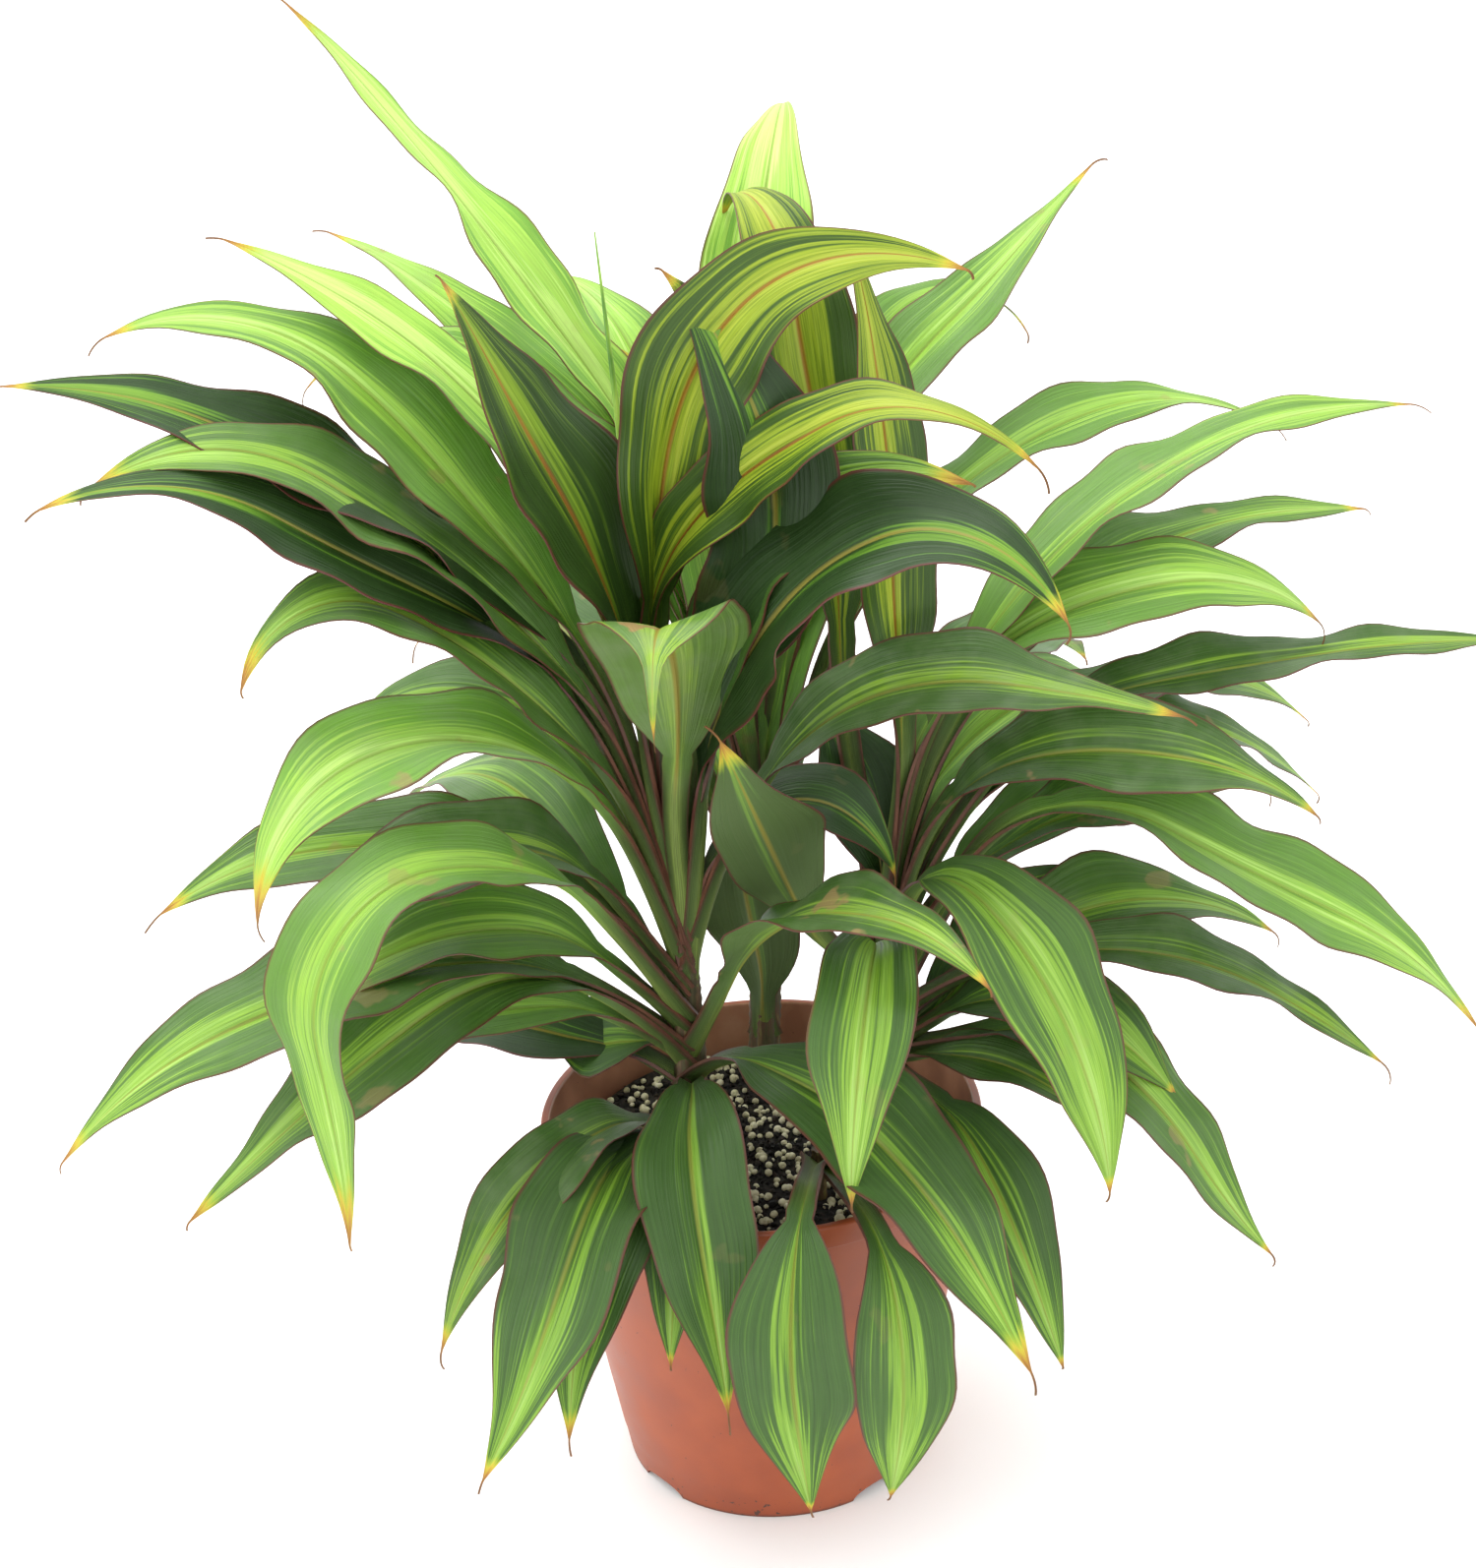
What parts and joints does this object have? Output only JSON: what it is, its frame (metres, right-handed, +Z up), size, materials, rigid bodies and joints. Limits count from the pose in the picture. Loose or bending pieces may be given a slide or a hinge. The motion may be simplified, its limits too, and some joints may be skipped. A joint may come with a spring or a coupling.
{
  "type": "potted ti plant",
  "caption": "Bushy ti plant with long striped leaves arching from canes, standing in soil in a round tapered nursery pot with a collar rim.",
  "frame": {"origin": "middle of the pot's flat foot, on the surface that it stands on", "axes": "+Z up, -Y towards the plant's front, +X to the right as seen from the front"},
  "size_m": [0.7924, 0.6172, 0.8304],
  "materials": {
    "pot_plastic": "semi-matt terracotta colour",
    "potting_mix": "rough dark peat with cream beads",
    "foliage": "satin green leaf with lime stripes and a maroon margin"
  },
  "bodies": {
    "root": {"pot": "pot_plastic", "soil": "potting_mix", "stem_left": "foliage", "stem_right": "foliage", "stem_middle": "foliage", "shoot_front": "foliage"}
  },
  "joints": []
}
